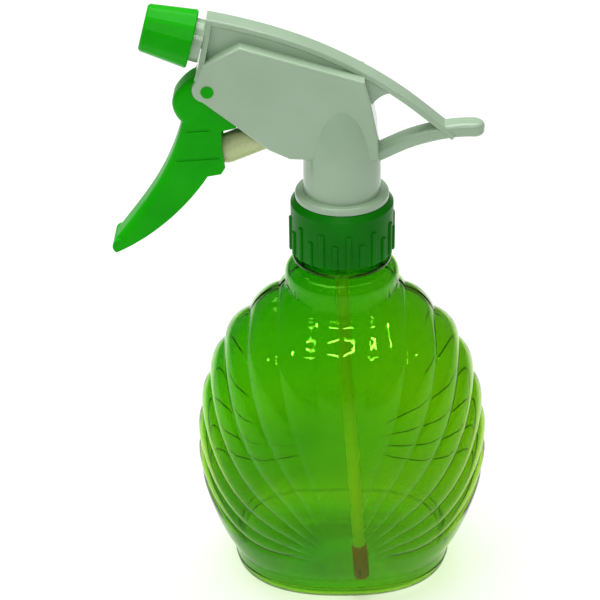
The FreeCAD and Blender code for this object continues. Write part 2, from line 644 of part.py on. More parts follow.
def intake_filter():
    """Slotted cup pushed over the tube's lower end."""
    bend_end, direction = tube_frame()[1:]
    start = along(bend_end, direction, TUBE_STRAIGHT - FILTER_OVERLAP)
    points = [(TUBE_RADIUS, 0), (FILTER_RADIUS - 0.3, 0), (FILTER_RADIUS, 0.4)]
    points += [(FILTER_RADIUS, FILTER_LENGTH - 0.8), (FILTER_RADIUS - 0.8, FILTER_LENGTH)]
    points += [(FILTER_HOLE, FILTER_LENGTH), (FILTER_HOLE, FILTER_LENGTH - 1.0)]
    points += [(FILTER_BORE, FILTER_LENGTH - 1.0), (FILTER_BORE, FILTER_OVERLAP)]
    points += [(TUBE_RADIUS, FILTER_OVERLAP)]
    cup = place_on_axis(revolve(points), start, direction)
    for i in range(4):
        slot = Part.makeBox(FILTER_RADIUS + 1, 0.8, 2.6, V(0, -0.4, FILTER_OVERLAP + 0.8))
        slot.rotate(V(0, 0, 0), UP, 90 * i + 45)
        cup = cup.cut(place_on_axis(slot, start, direction))
    return cup


# ---------------------------------------------------------------- nozzle
def nozzle_point(t):
    return along(NOZZLE_ORIGIN, NOZZLE_AXIS, t)


def on_nozzle(shape, t=0.0):
    return place_on_axis(shape, nozzle_point(t), NOZZLE_AXIS)


def nozzle_barrel():
    points = [(1.2, SPIGOT_T), (SPIGOT_RADIUS, SPIGOT_T), (SPIGOT_RADIUS, 0), (BARREL_COLLAR_RADIUS, 0),
              (BARREL_COLLAR_RADIUS, BARREL_COLLAR_T - 0.4), (BARREL_COLLAR_RADIUS - 0.4, BARREL_COLLAR_T),
              (BARREL_RADIUS, BARREL_COLLAR_T), (BARREL_RADIUS, BARREL_END_T - 0.5),
              (BARREL_RADIUS - 0.5, BARREL_END_T), (VALVE_BORE, BARREL_END_T), (VALVE_BORE, VALVE_SEAT_T),
              (1.2, VALVE_SEAT_T)]
    body = revolve(points)
    thread = screw_thread(BARREL_RADIUS, BARREL_RADIUS + 0.65, 0.65, 0.25, NOZZLE_PITCH, 1.75)
    thread.translate(V(0, 0, 6.4))
    return on_nozzle(body.fuse(thread))


def discharge_valve():
    points = [(0, 0), (2.0, 0), (2.6, 0.5), (2.6, 1.4), (1.0, 1.4), (1.0, 3.4), (0, 3.4)]
    return on_nozzle(revolve(points), VALVE_SEAT_T + 0.03)


def discharge_spring():
    start = VALVE_SEAT_T + 1.5
    length = SWIRL_T[0] - start - 0.05
    coil = coil_spring(VALVE_SPRING_MEAN_RADIUS, VALVE_SPRING_WIRE_RADIUS, length, VALVE_SPRING_COILS)
    return on_nozzle(coil, start)


def swirl_core():
    """Plug with three feed slots that meet in a swirl chamber at its front."""
    length = SWIRL_T[1] - SWIRL_T[0]
    plug = cylinder(VALVE_BORE, length)
    plug = plug.cut(cylinder(0.9, 0.6, V(0, 0, length - 0.6)))
    for i in range(3):
        slot = Part.makeBox(1.0, 0.9, length, V(VALVE_BORE - 0.7, -0.45, 0))
        feed = Part.makeBox(VALVE_BORE - 0.4, 0.6, 0.6, V(0.4, -0.45, length - 0.6))
        for cutter in (slot, feed):
            cutter.rotate(V(0, 0, 0), UP, 120 * i)
            plug = plug.cut(cutter)
    return on_nozzle(plug, SWIRL_T[0])


def nozzle_seal():
    return on_nozzle(ring(3.5, 5.55, 1.4), 13.3)


def nozzle_cap():
    rear, front = CAP_T
    length = front - rear
    outline = [(0, rear), (CAP_REAR_RADIUS - 0.5, rear), (CAP_REAR_RADIUS, rear + 0.5)]
    outline += [(CAP_FRONT_RADIUS + 0.08, front - 0.7), (CAP_FRONT_RADIUS - 0.6, front), (0, front)]
    body = revolve(outline)
    flats = []
    for radius, t in ((CAP_REAR_RADIUS, rear), (CAP_FRONT_RADIUS, front)):
        across = radius * 0.985 / math.cos(math.pi / CAP_SIDES)
        corners = [V(across * math.cos(2 * math.pi * (i + 0.5) / CAP_SIDES),
                     across * math.sin(2 * math.pi * (i + 0.5) / CAP_SIDES), t) for i in range(CAP_SIDES)]
        flats.append(Part.makePolygon(corners + [corners[0]]))
    body = body.common(Part.makeLoft(flats, True, True))
    bores = [(BARREL_COLLAR_RADIUS + 0.3, rear, 6.2), (BARREL_RADIUS + 0.95, 6.2, 13.0), (5.6, 13.0, 14.8),
             (3.4, 14.8, CAP_WALL_T), (2.5, CAP_WALL_T, CAP_WALL_T + 1.4), (1.2, CAP_WALL_T + 1.4, front)]
    for radius, start, stop in bores:
        body = body.cut(cylinder(radius, stop - start, V(0, 0, start)))
    dish = Part.makeCone(1.2, 4.6, 1.2, V(0, 0, front - 1.2))
    body = body.cut(dish)
    thread = screw_thread(BARREL_RADIUS + 0.95, BARREL_RADIUS + 0.3, 0.65, 0.25, NOZZLE_PITCH, 1.5)
    thread.translate(V(0, 0, 7.6))
    return on_nozzle(body.fuse(thread))


def orifice_disc():
    return on_nozzle(ring(0.35, 2.5, 1.4), CAP_WALL_T)


NODES = {
    "bottle": bottle,
    "neck_finish": neck_finish,
    "screw_collar": screw_collar,
    "swivel_ring": swivel_ring,
    "neck_gasket": neck_gasket,
    "head_body": head_body,
    "trigger": trigger,
    "plunger": plunger,
    "piston_seal": piston_seal,
    "pump_cylinder": pump_cylinder,
    "spring_seat": spring_seat,
    "return_spring": return_spring,
    "valve_housing": valve_housing,
    "intake_ball": intake_ball,
    "ball_cage": ball_cage,
    "dip_tube": dip_tube,
    "intake_filter": intake_filter,
    "nozzle_barrel": nozzle_barrel,
    "discharge_valve": discharge_valve,
    "discharge_spring": discharge_spring,
    "swirl_core": swirl_core,
    "nozzle_seal": nozzle_seal,
    "nozzle_cap": nozzle_cap,
    "orifice_disc": orifice_disc,
}

os.makedirs("parts", exist_ok=True)
for name, make in NODES.items():
    shape = make()
    box = shape.BoundBox
    print(f"{name:18s} valid {shape.isValid()} solids {len(shape.Solids)} volume {shape.Volume:10.2f}"
          f"  x {box.XMin:7.2f} {box.XMax:7.2f}  y {box.YMin:7.2f} {box.YMax:7.2f}"
          f"  z {box.ZMin:7.2f} {box.ZMax:7.2f}")
    shape.exportStep(f"parts/{name}.step")
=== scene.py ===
import json
import math

import bmesh
import bpy
import numpy as np
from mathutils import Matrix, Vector


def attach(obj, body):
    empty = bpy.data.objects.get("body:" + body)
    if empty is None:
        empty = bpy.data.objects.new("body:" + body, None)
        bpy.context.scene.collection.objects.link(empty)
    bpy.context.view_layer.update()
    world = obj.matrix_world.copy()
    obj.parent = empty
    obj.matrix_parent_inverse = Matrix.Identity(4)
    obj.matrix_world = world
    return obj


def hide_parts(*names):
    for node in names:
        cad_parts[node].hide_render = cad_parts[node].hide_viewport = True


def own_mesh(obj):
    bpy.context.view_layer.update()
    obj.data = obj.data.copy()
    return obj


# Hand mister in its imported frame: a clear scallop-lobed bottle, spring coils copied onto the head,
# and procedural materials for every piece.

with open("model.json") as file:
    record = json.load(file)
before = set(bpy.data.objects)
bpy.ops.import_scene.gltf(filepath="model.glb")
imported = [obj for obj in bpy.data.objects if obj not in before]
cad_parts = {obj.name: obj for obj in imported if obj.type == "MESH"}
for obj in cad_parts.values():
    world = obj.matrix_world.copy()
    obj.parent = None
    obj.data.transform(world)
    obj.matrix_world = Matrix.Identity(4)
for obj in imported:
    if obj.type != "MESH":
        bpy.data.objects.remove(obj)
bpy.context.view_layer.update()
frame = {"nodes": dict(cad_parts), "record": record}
nodes = frame["nodes"]

MM = 0.001
scene = bpy.context.scene

# ---------------------------------------------------------------- bottle sizes, millimetres
HALF_WIDTH = 50.2
HALF_DEPTH = 35.5
BELLY_Z = 50.0
RISE_WIDE, RISE_DEEP = 71.0, 73.0
FALL_WIDE, FALL_DEEP = 62.0, 74.0
FOOT_HEIGHT = 10.0
FOOT_HALF_WIDTH, FOOT_HALF_DEPTH = 38.0, 29.6
FOOT_ROUNDING = 6.0
FOOT_FLARE = 0.45
FOOT_SQUARENESS = 2.4
SQUARENESS_FADE = 16.0
WALL = 0.9
BASE_THICKNESS = 1.2
HEEL_Z, HEEL_RELIEF = 6.4, 0.22     # fine line where the mould's base meets its sides
PUSH_UP = (31.0, 21.5, 7.0)
BOSS_RADIUS, BOSS_TOP_Z, BOSS_ROUNDING = 19.0, 121.2, 4.2
NECK_RADIUS, NECK_BORE, MOUTH_Z = 12.6, 10.9, 140.0
SUPPORT_RING_RADIUS, SUPPORT_RING_Z, SUPPORT_RING_THICKNESS = 16.4, 123.0, 1.4
NECK_PITCH, NECK_TURNS, NECK_THREAD_Z = 25.4 / 6, 1.5, 129.6

# lobes: creases fan out from a focus low on each face
FOCUS_Z = 12.0
CREASE_COUNT = 8
CREASE_BOW = 1.4            # how far a crease bows away from a straight ray
CREASE_BOW_AT = 0.65        # share of the way out at which it stands farthest from the vertical
LOBE_RELIEF = 0.12          # depth of a crease as a share of its lobe's width
SHOULDER_RELIEF = 0.62      # that share beside the neck, against the sides
MIDDLE_RELIEF = 0.45        # a further share for the two creases nearest the middle
LOBE_SHAPE = 2.3            # 2 is a round-backed lobe; higher is flatter with a tighter crease
LOBE_START, LOBE_FULL = 0.14, 0.42
PARTING_DEPTH = 0.55        # groove where the mould's halves meet
PARTING_HALF = 1.1
SHOULDER_Z = 92.0           # above this the shoulder falls away from the plain oval
SHOULDER_DROP = 1.6         # by this much over the next SHOULDER_RUN
SHOULDER_RUN = 14.0

# where each effect fades out: degrees from vertical on the face, and the width of the fade
BOW_EDGE, BOW_FADE = 112.0, 36.0
NECK_SIDE_EDGE, NECK_SIDE_FADE = 46.0, 34.0
MIDDLE_EDGE, MIDDLE_FADE = 7.0, 8.0
PARTING_EDGE, PARTING_FADE = 27.0, 7.0
LAST_CREASE_FADE = 4.6
LAST_CREASE_WIDTH = 9.5

ROUND_SEGMENTS = 144        # sides of the foot, the boss and the neck
DOME_ROWS = 15
NECK_FILLET, RING_ROUNDING, MOUTH_ROUNDING = 0.8, 0.4, 0.5
THREAD_CREST_RADIUS = 13.8
BOSS_START_Z = 100.0        # the boss and its hollow start inside the shoulder


def crease_angle(k):
    """Degrees from vertical of crease k, counted from the middle."""
    return 6.6 + 8.6 * k + 0.1 * k * k


# ---------------------------------------------------------------- mesh helpers
def new_object(name, vertices, faces):
    mesh = bpy.data.meshes.new(name)
    mesh.from_pydata([tuple(c * MM for c in v) for v in vertices], [], faces)
    mesh.validate()
    bm = bmesh.new()
    bm.from_mesh(mesh)
    bmesh.ops.recalc_face_normals(bm, faces=bm.faces)
    bm.to_mesh(mesh)
    bm.free()
    obj = bpy.data.objects.new(name, mesh)
    scene.collection.objects.link(obj)
    return obj


def smooth(obj, angle=40.0):
    obj.data.shade_smooth()
    obj.data.set_sharp_from_angle(angle=math.radians(angle))
    return obj


def revolved(name, profile, segments):
    """Closed solid of revolution about +Z from (radius, height) points; ends may lie on the axis."""
    vertices, rows = [], []
    for r, h in profile:
        if r < 1e-6:
            rows.append([len(vertices)])
            vertices.append((0.0, 0.0, h))
        else:
            rows.append(list(range(len(vertices), len(vertices) + segments)))
            vertices += [(r * math.cos(2 * math.pi * i / segments),
                          r * math.sin(2 * math.pi * i / segments), h) for i in range(segments)]
    faces = []
    pairs = list(zip(rows, rows[1:]))
    if len(rows[0]) > 1:
        pairs.append((rows[-1], rows[0]))
    for low, high in pairs:
        for i in range(segments):
            j = (i + 1) % segments
            if len(low) == 1:
                faces.append((low[0], high[i], high[j]))
            elif len(high) == 1:
                faces.append((low[i], low[j], high[0]))
            else:
                faces.append((low[i], low[j], high[j], high[i]))
    return new_object(name, vertices, faces)


def arc(centre_r, centre_h, radius, start, stop, steps=8):
    angles = [math.radians(start + (stop - start) * i / steps) for i in range(steps + 1)]
    return [(centre_r + radius * math.cos(a), centre_h + radius * math.sin(a)) for a in angles]


def combine(target, tool, operation):
    """Boolean of two closed meshes; the tool is used up."""
    modifier = target.modifiers.new("combine", "BOOLEAN")
    modifier.operation = operation
    modifier.solver = "MANIFOLD"
    modifier.object = tool
    graph = bpy.context.evaluated_depsgraph_get()
    made = bpy.data.meshes.new_from_object(target.evaluated_get(graph))
    target.modifiers.clear()
    target.data = made
    bpy.data.objects.remove(tool)
    return target


def thread(name, root, crest, root_half, crest_half, pitch, turns, start_z, steps=72):
    """One helical ridge about +Z, tapering to nothing at its ends."""
    vertices, faces = [], []
    count = int(steps * turns) + 1
    buried = root - 0.5
    for i in range(count):
        turn = 2 * math.pi * i / steps
        fade = min(1.0, i / 6.0, (count - 1 - i) / 6.0)
        top = root + (crest - root) * max(fade, 0.05)
        z = start_z + pitch * i / steps
        for r, h in ((buried, -root_half), (root, -root_half), (top, -crest_half),
                     (top, crest_half), (root, root_half), (buried, root_half)):
            vertices.append((r * math.cos(turn), r * math.sin(turn), z + h))
    for i in range(count - 1):
        for j in range(6):
            a, b = 6 * i + j, 6 * i + (j + 1) % 6
            faces.append((a, b, b + 6, a + 6))
    faces.append(tuple(range(6)))
    faces.append(tuple(range(6 * (count - 1), 6 * count)))
    return new_object(name, vertices, faces)


# ---------------------------------------------------------------- bottle
def belly(z):
    """Half width, half depth and squareness exponent of the smooth shell at heights z."""
    z = np.asarray(z, float)
    wide = np.where(z >= BELLY_Z, RISE_WIDE, FALL_WIDE)
    deep = np.where(z >= BELLY_Z, RISE_DEEP, FALL_DEEP)
    half_width = HALF_WIDTH * np.sqrt(np.maximum(1 - ((z - BELLY_Z) / wide) ** 2, 1e-9))
    half_depth = HALF_DEPTH * np.sqrt(np.maximum(1 - ((z - BELLY_Z) / deep) ** 2, 1e-9))
    above_foot = np.maximum(z, FOOT_HEIGHT) - FOOT_HEIGHT
    power = 2 + (FOOT_SQUARENESS - 2) * np.exp(-above_foot / SQUARENESS_FADE)
    return half_width, half_depth, power


def shell_value(p):
    """Above 0 outside the smooth shell, below 0 inside."""
    a, b, n = belly(p[..., 2])
    return (np.abs(p[..., 0]) / a) ** n + (np.abs(p[..., 1]) / b) ** n - 1


def outline_radius(angle):
    """Distance from the focus to the outline seen from the front, at an angle from vertical."""
    s, c = np.sin(angle), np.cos(angle)
    drop = BELLY_Z - FOCUS_Z
    found = []
    for w in (RISE_WIDE, FALL_WIDE):
        a = (s / HALF_WIDTH) ** 2 + (c / w) ** 2
        b = -2 * drop * c / w ** 2
        k = (drop / w) ** 2 - 1
        found.append((-b + np.sqrt(b * b - 4 * a * k)) / (2 * a))
    return np.where(found[0] * c >= drop, found[0], found[1])


def lobe_columns():
    """Meridian labels in degrees from vertical, closer together at the creases."""
    creases = [crease_angle(k) for k in range(CREASE_COUNT)]
    edges = [-c for c in reversed(creases)] + creases
    shares = (0.0, 0.035, 0.09, 0.18, 0.3, 0.43, 0.57, 0.7, 0.82, 0.91, 0.965)
    columns = []
    for low, high in zip(edges, edges[1:]):
        columns += [low + (high - low) * s for s in shares]
    last = edges[-1]
    columns += [last + d for d in (0.0, 0.3, 0.8, 1.6, 2.6, 4.0, 6.0)]
    around = 360 - 2 * last - 12.0
    count = 56
    columns += [last + 6.0 + around * i / count for i in range(1, count)]
    columns += [360 - last - d for d in (6.0, 4.0, 2.6, 1.6, 0.8, 0.3)]
    return np.array(columns)


def crease_share(label):
    """0 on the back of a lobe and 1 in a crease, for meridian labels in degrees."""
    label = np.where(label > 180, label - 360, label)
    creases = np.array([crease_angle(k) for k in range(CREASE_COUNT)])
    edges = np.concatenate([-creases[::-1], creases])
    slot = np.clip(np.searchsorted(edges, label, side="right") - 1, 0, len(edges) - 2)
    inside = (label >= edges[0]) & (label <= edges[-1])
    share = np.abs(2 * (label - edges[slot]) / (edges[slot + 1] - edges[slot]) - 1)
    beyond = np.clip(1 - (np.abs(label) - edges[-1]) / LAST_CREASE_FADE, 0, 1)
    share = np.where(inside, share, beyond)
    return share, np.where(inside, edges[slot + 1] - edges[slot], LAST_CREASE_WIDTH)


def ease(share):
    """Smooth step from 0 to 1."""
    share = np.clip(share, 0, 1)
    return share * share * (3 - 2 * share)


def egg(name, inset):
    """Closed lobed shell before its foot and neck, drawn in by a wall thickness."""
    near = [0.0, 0.004, 0.009, 0.015, 0.022]
    side = near + list(np.linspace(0.034, 1, 58)[:-1])
    share = np.array([-v for v in reversed(side[1:])] + side)
    columns = lobe_columns()
    label, v = np.meshgrid(columns, share)
    out = np.cos(v * math.pi / 2)
    signed = np.where(label > 180, label - 360, label)
    fan = ease((BOW_EDGE - np.abs(signed)) / BOW_FADE)
    angle = np.radians(signed * (1 - fan * CREASE_BOW * (out - CREASE_BOW_AT) ** 2))
    radius = out * outline_radius(angle)
    x = radius * np.sin(angle)
    z = FOCUS_Z + radius * np.cos(angle)
    a, b, n = belly(z)
    y = b * np.maximum(1 - np.minimum(np.abs(x) / a, 1) ** n, 0) ** (1 / n)
    y = np.where(np.abs(v) < 1e-9, 0, y) * np.sign(v)
    points = np.stack([x, y, z], -1)

    step = 0.01
    normal = np.stack([shell_value(points + step * e) - shell_value(points - step * e)
                       for e in np.eye(3)], -1)
    normal /= np.maximum(np.linalg.norm(normal, axis=-1, keepdims=True), 1e-9)
    hollow, width = crease_share(label)
    start = ease((out - LOBE_START) / (LOBE_FULL - LOBE_START))
    beside_neck = np.clip((NECK_SIDE_EDGE - np.abs(signed)) / NECK_SIDE_FADE, 0, 1)
    off_middle = np.clip((np.abs(signed) - MIDDLE_EDGE) / MIDDLE_FADE, 0, 1)
    gentle = 1 - (1 - SHOULDER_RELIEF) * beside_neck
    gentle = gentle * (MIDDLE_RELIEF + (1 - MIDDLE_RELIEF) * off_middle)
    relief = LOBE_RELIEF * gentle * radius * np.radians(width) * start * hollow ** LOBE_SHAPE
    groove = np.clip(1 - np.abs(y) / PARTING_HALF, 0, 1) ** 1.4
    groove = groove * np.clip((PARTING_EDGE - np.abs(signed)) / PARTING_FADE, 0, 1)
    drop = SHOULDER_DROP * ease((z - SHOULDER_Z) / SHOULDER_RUN)
    points -= normal * (relief + PARTING_DEPTH * groove + drop + inset)[..., None]

    rows_count, columns_count = label.shape
    vertices = [tuple(p) for p in points.reshape(-1, 3)]
    faces = []
    for i in range(rows_count - 1):
        for j in range(columns_count):
            k = (j + 1) % columns_count
            faces.append((i * columns_count + j, i * columns_count + k,
                          (i + 1) * columns_count + k, (i + 1) * columns_count + j))
    depth = float(belly(FOCUS_Z)[1]) - inset
    for pole_y, row in ((-depth, 0), (depth, rows_count - 1)):
        vertices.append((0.0, pole_y, FOCUS_Z))
        for j in range(columns_count):
            faces.append((row * columns_count + j, row * columns_count + (j + 1) % columns_count,
                          len(vertices) - 1))
    return new_object(name, vertices, faces)


def cut_below(obj, z):
    """Keep what is above a level plane and close the cut."""
    bm = bmesh.new()
    bm.from_mesh(obj.data)
    bmesh.ops.bisect_plane(bm, geom=bm.verts[:] + bm.edges[:] + bm.faces[:], plane_co=(0, 0, z * MM),
                           plane_no=(0, 0, 1), clear_inner=True)
    rim = [e for e in bm.edges if e.is_boundary]
    bmesh.ops.contextual_create(bm, geom=rim)
    bmesh.ops.recalc_face_normals(bm, faces=bm.faces)
    bm.to_mesh(obj.data)
    bm.free()
    return obj


def superellipse(half_width, half_depth, power):
    points = []
    for i in range(ROUND_SEGMENTS):
        turn = 2 * math.pi * i / ROUND_SEGMENTS
        c, s = math.cos(turn), math.sin(turn)
        points.append((half_width * math.copysign(abs(c) ** (2 / power), c),
                       half_depth * math.copysign(abs(s) ** (2 / power), s)))
    return points


def foot(name, inset, floor, top, dome):
    """Base of the shell with a rounded bottom edge and a middle pushed up."""
    rounding = FOOT_ROUNDING - inset
    count = ROUND_SEGMENTS
    rows = []
    flare = [(-FOOT_FLARE * ((z - FOOT_ROUNDING) / (FOOT_HEIGHT - FOOT_ROUNDING)) ** 2, z)
             for z in (FOOT_HEIGHT, 9.2, 8.4, 7.6, 6.8)]
    heel = [(0.0, HEEL_Z + 0.3), (-HEEL_RELIEF, HEEL_Z), (0.0, HEEL_Z - 0.3)]
    rim = [(-FOOT_FLARE, top)] + flare + heel
    rim += [(rounding - r, floor + h) for r, h in arc(0, rounding, rounding, 0, -90, 10)]
    for drawn_in, z in rim:
        rows.append([(x, y, z) for x, y in superellipse(FOOT_HALF_WIDTH - inset - drawn_in,
                                                        FOOT_HALF_DEPTH - inset - drawn_in,
                                                        FOOT_SQUARENESS)])
    turns = [2 * math.pi * i / count for i in range(count)]
    for step in range(1, DOME_ROWS):
        share = 1 - step / DOME_ROWS
        rows.append([(dome[0] * share * math.cos(turn),
                      dome[1] * share * math.sin(turn),
                      floor + dome[2] * (1 - share ** 2) ** 1.6) for turn in turns])
    vertices = [p for row in rows for p in row]
    faces = []
    for i in range(len(rows) - 1):
        for j in range(count):
            k = (j + 1) % count
            faces.append((i * count + j, i * count + k, (i + 1) * count + k, (i + 1) * count + j))
    vertices += [(0, 0, top), (0, 0, floor + dome[2])]
    last = count * (len(rows) - 1)
    for j in range(count):
        k = (j + 1) % count
        faces.append((j, k, len(vertices) - 2))
        faces.append((last + j, last + k, len(vertices) - 1))
    return new_object(name, vertices, faces)


def neck_and_boss(name):
    top, corner = BOSS_TOP_Z, BOSS_ROUNDING
    ring_low, ring_high = SUPPORT_RING_Z, SUPPORT_RING_Z + SUPPORT_RING_THICKNESS
    ring_edge = SUPPORT_RING_RADIUS - RING_ROUNDING
    profile = [(0, BOSS_START_Z), (BOSS_RADIUS, BOSS_START_Z)]
    profile += arc(BOSS_RADIUS - corner, top - corner, corner, 0, 90)
    profile += arc(NECK_RADIUS + NECK_FILLET, top + NECK_FILLET, NECK_FILLET, -90, -180, 4)
    profile += [(NECK_RADIUS, ring_low)]
    profile += arc(ring_edge, ring_low + RING_ROUNDING, RING_ROUNDING, -90, 0, 4)
    profile += arc(ring_edge, ring_high - RING_ROUNDING, RING_ROUNDING, 0, 90, 4)
    profile += [(NECK_RADIUS, ring_high)]
    profile += arc(NECK_RADIUS - MOUTH_ROUNDING, MOUTH_Z - MOUTH_ROUNDING, MOUTH_ROUNDING, 0, 90, 4)
    profile += [(0, MOUTH_Z)]
    return revolved(name, profile, ROUND_SEGMENTS)


def neck_hollow(name):
    top, corner = BOSS_TOP_Z - WALL, BOSS_ROUNDING - WALL / 2
    radius = BOSS_RADIUS - WALL
    low = BOSS_START_Z - 2
    profile = [(0, low), (radius, low)]
    profile += arc(radius - corner, top - corner, corner, 0, 90)
    profile += arc(NECK_BORE + NECK_FILLET, top + NECK_FILLET, NECK_FILLET, -90, -180, 4)
    profile += [(NECK_BORE, MOUTH_Z + 1), (0, MOUTH_Z + 1)]
    return revolved(name, profile, ROUND_SEGMENTS)


def build_bottle():
    outer = cut_below(egg("bottle_shell", 0.0), FOOT_HEIGHT)
    outer = combine(outer, foot("foot_outer", 0.0, 0.0, FOOT_HEIGHT + 1.0, PUSH_UP), "UNION")
    outer = combine(outer, neck_and_boss("boss_outer"), "UNION")
    ridge = thread("neck_thread", NECK_RADIUS, THREAD_CREST_RADIUS, 1.1, 0.45,
                   NECK_PITCH, NECK_TURNS, NECK_THREAD_Z)
    outer = combine(outer, ridge, "UNION")
    inner = cut_below(egg("inner_shell", WALL), FOOT_HEIGHT + 0.6)
    inner_foot = foot("foot_inner", WALL, BASE_THICKNESS, FOOT_HEIGHT + 2.0, PUSH_UP)
    inner = combine(inner, inner_foot, "UNION")
    inner = combine(inner, neck_hollow("boss_inner"), "UNION")
    outer = combine(outer, inner, "DIFFERENCE")
    return smooth(outer, 50)


bottle = build_bottle()
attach(bottle, "bottle")
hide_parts("bottle", "neck_finish")


# ---------------------------------------------------------------- materials
def new_material(name):
    material = bpy.data.materials.new(name)
    material.use_nodes = True
    tree = material.node_tree
    shader = next(n for n in tree.nodes if n.type == "BSDF_PRINCIPLED")
    return material, tree, shader


def noise(tree, coordinates, scale, detail=3.0, roughness=0.55):
    node = tree.nodes.new("ShaderNodeTexNoise")
    node.inputs["Scale"].default_value = scale
    node.inputs["Detail"].default_value = detail
    node.inputs["Roughness"].default_value = roughness
    tree.links.new(coordinates, node.inputs["Vector"])
    return node.outputs["Fac"]


def between(tree, factor, low, high, start=0.0, stop=1.0):
    """low to high as factor goes from start to stop; numbers or colours."""
    if isinstance(low, (int, float)):
        node = tree.nodes.new("ShaderNodeMapRange")
        for name, value in (("From Min", start), ("From Max", stop), ("To Min", low), ("To Max", high)):
            node.inputs[name].default_value = value
        tree.links.new(factor, node.inputs["Value"])
        return node.outputs["Result"]
    node = tree.nodes.new("ShaderNodeValToRGB")
    node.color_ramp.elements[0].position = start
    node.color_ramp.elements[1].position = stop
    node.color_ramp.elements[0].color = (*low, 1)
    node.color_ramp.elements[1].color = (*high, 1)
    tree.links.new(factor, node.inputs["Fac"])
    return node.outputs["Color"]


def bump(tree, shader, height, strength, distance):
    node = tree.nodes.new("ShaderNodeBump")
    node.inputs["Strength"].default_value = strength
    node.inputs["Distance"].default_value = distance
    tree.links.new(height, node.inputs["Height"])
    tree.links.new(node.outputs["Normal"], shader.inputs["Normal"])


GRAIN_SCALE, CLOUD_SCALE = 900.0, 45.0
GREEN_SCATTER = (0.2, 1.0, 0.1)


def plastic(name, dark, light, roughness, relief=0.00003,
            scatter=0.0, scatter_radius=(1.0, 1.0, 1.0), gloss=0.5):
    """Moulded plastic: cloudy colour, fine grain in its gloss and surface."""
    material, tree, shader = new_material(name)
    place = tree.nodes.new("ShaderNodeTexCoord").outputs["Object"]
    clouds = noise(tree, place, CLOUD_SCALE, 4.0)
    fine = noise(tree, place, GRAIN_SCALE, 2.0)
    tree.links.new(between(tree, clouds, dark, light, 0.3, 0.7), shader.inputs["Base Color"])
    tree.links.new(between(tree, fine, *roughness, 0.3, 0.7), shader.inputs["Roughness"])
    bump(tree, shader, fine, 0.4, relief)
    shader.inputs["IOR"].default_value = 1.5
    shader.inputs["Specular IOR Level"].default_value = gloss
    if scatter:
        shader.inputs["Subsurface Weight"].default_value = scatter
        shader.inputs["Subsurface Radius"].default_value = scatter_radius
        shader.inputs["Subsurface Scale"].default_value = 0.003
    return material


def blend_colours(tree, factor, first, second):
    """first where the factor is 0 and second where it is 1; second is a plain colour."""
    node = tree.nodes.new("ShaderNodeMix")
    node.data_type = "RGBA"
    tree.links.new(factor, node.inputs[0])
    tree.links.new(first, node.inputs[6])
    node.inputs[7].default_value = (*second, 1)
    return node.outputs[2]


# green of the wall from the standing ring to the mouth, with painted shade: darker just above the base and
# towards the mouth, lighter at the belly: (height in metres, colour)
WALL_GREEN_AND_PAINTED_SHADE = (
    (0.004, (0.26, 0.58, 0.0005)),
    (0.014, (0.10, 0.35, 0.0005)),
    (0.028, (0.10, 0.37, 0.0005)),
    (0.050, (0.32, 0.61, 0.0005)),
    (0.070, (0.21, 0.62, 0.0005)),
    (0.122, (0.045, 0.46, 0.0005)),
)
CLOUD_TINT = (0.36, 0.66, 0.0005)
# painted light: a lighter green laid over the right side of the wall, where the lamps light it more
RIGHT_PAINTED_LIGHT_TINT = (0.37, 0.59, 0.001)


def by_height(tree, height, stops):
    """Colour read off a list of (height in metres, colour) stops."""
    top = MOUTH_Z * MM
    node = tree.nodes.new("ShaderNodeValToRGB")
    ramp = node.color_ramp
    while len(ramp.elements) < len(stops):
        ramp.elements.new(0.5)
    for element, (level, colour) in zip(ramp.elements, stops):
        element.position = level / top
        element.color = (*colour, 1)
    tree.links.new(between(tree, height, 0.0, 1.0, 0.0, top), node.inputs["Fac"])
    return node.outputs["Color"]


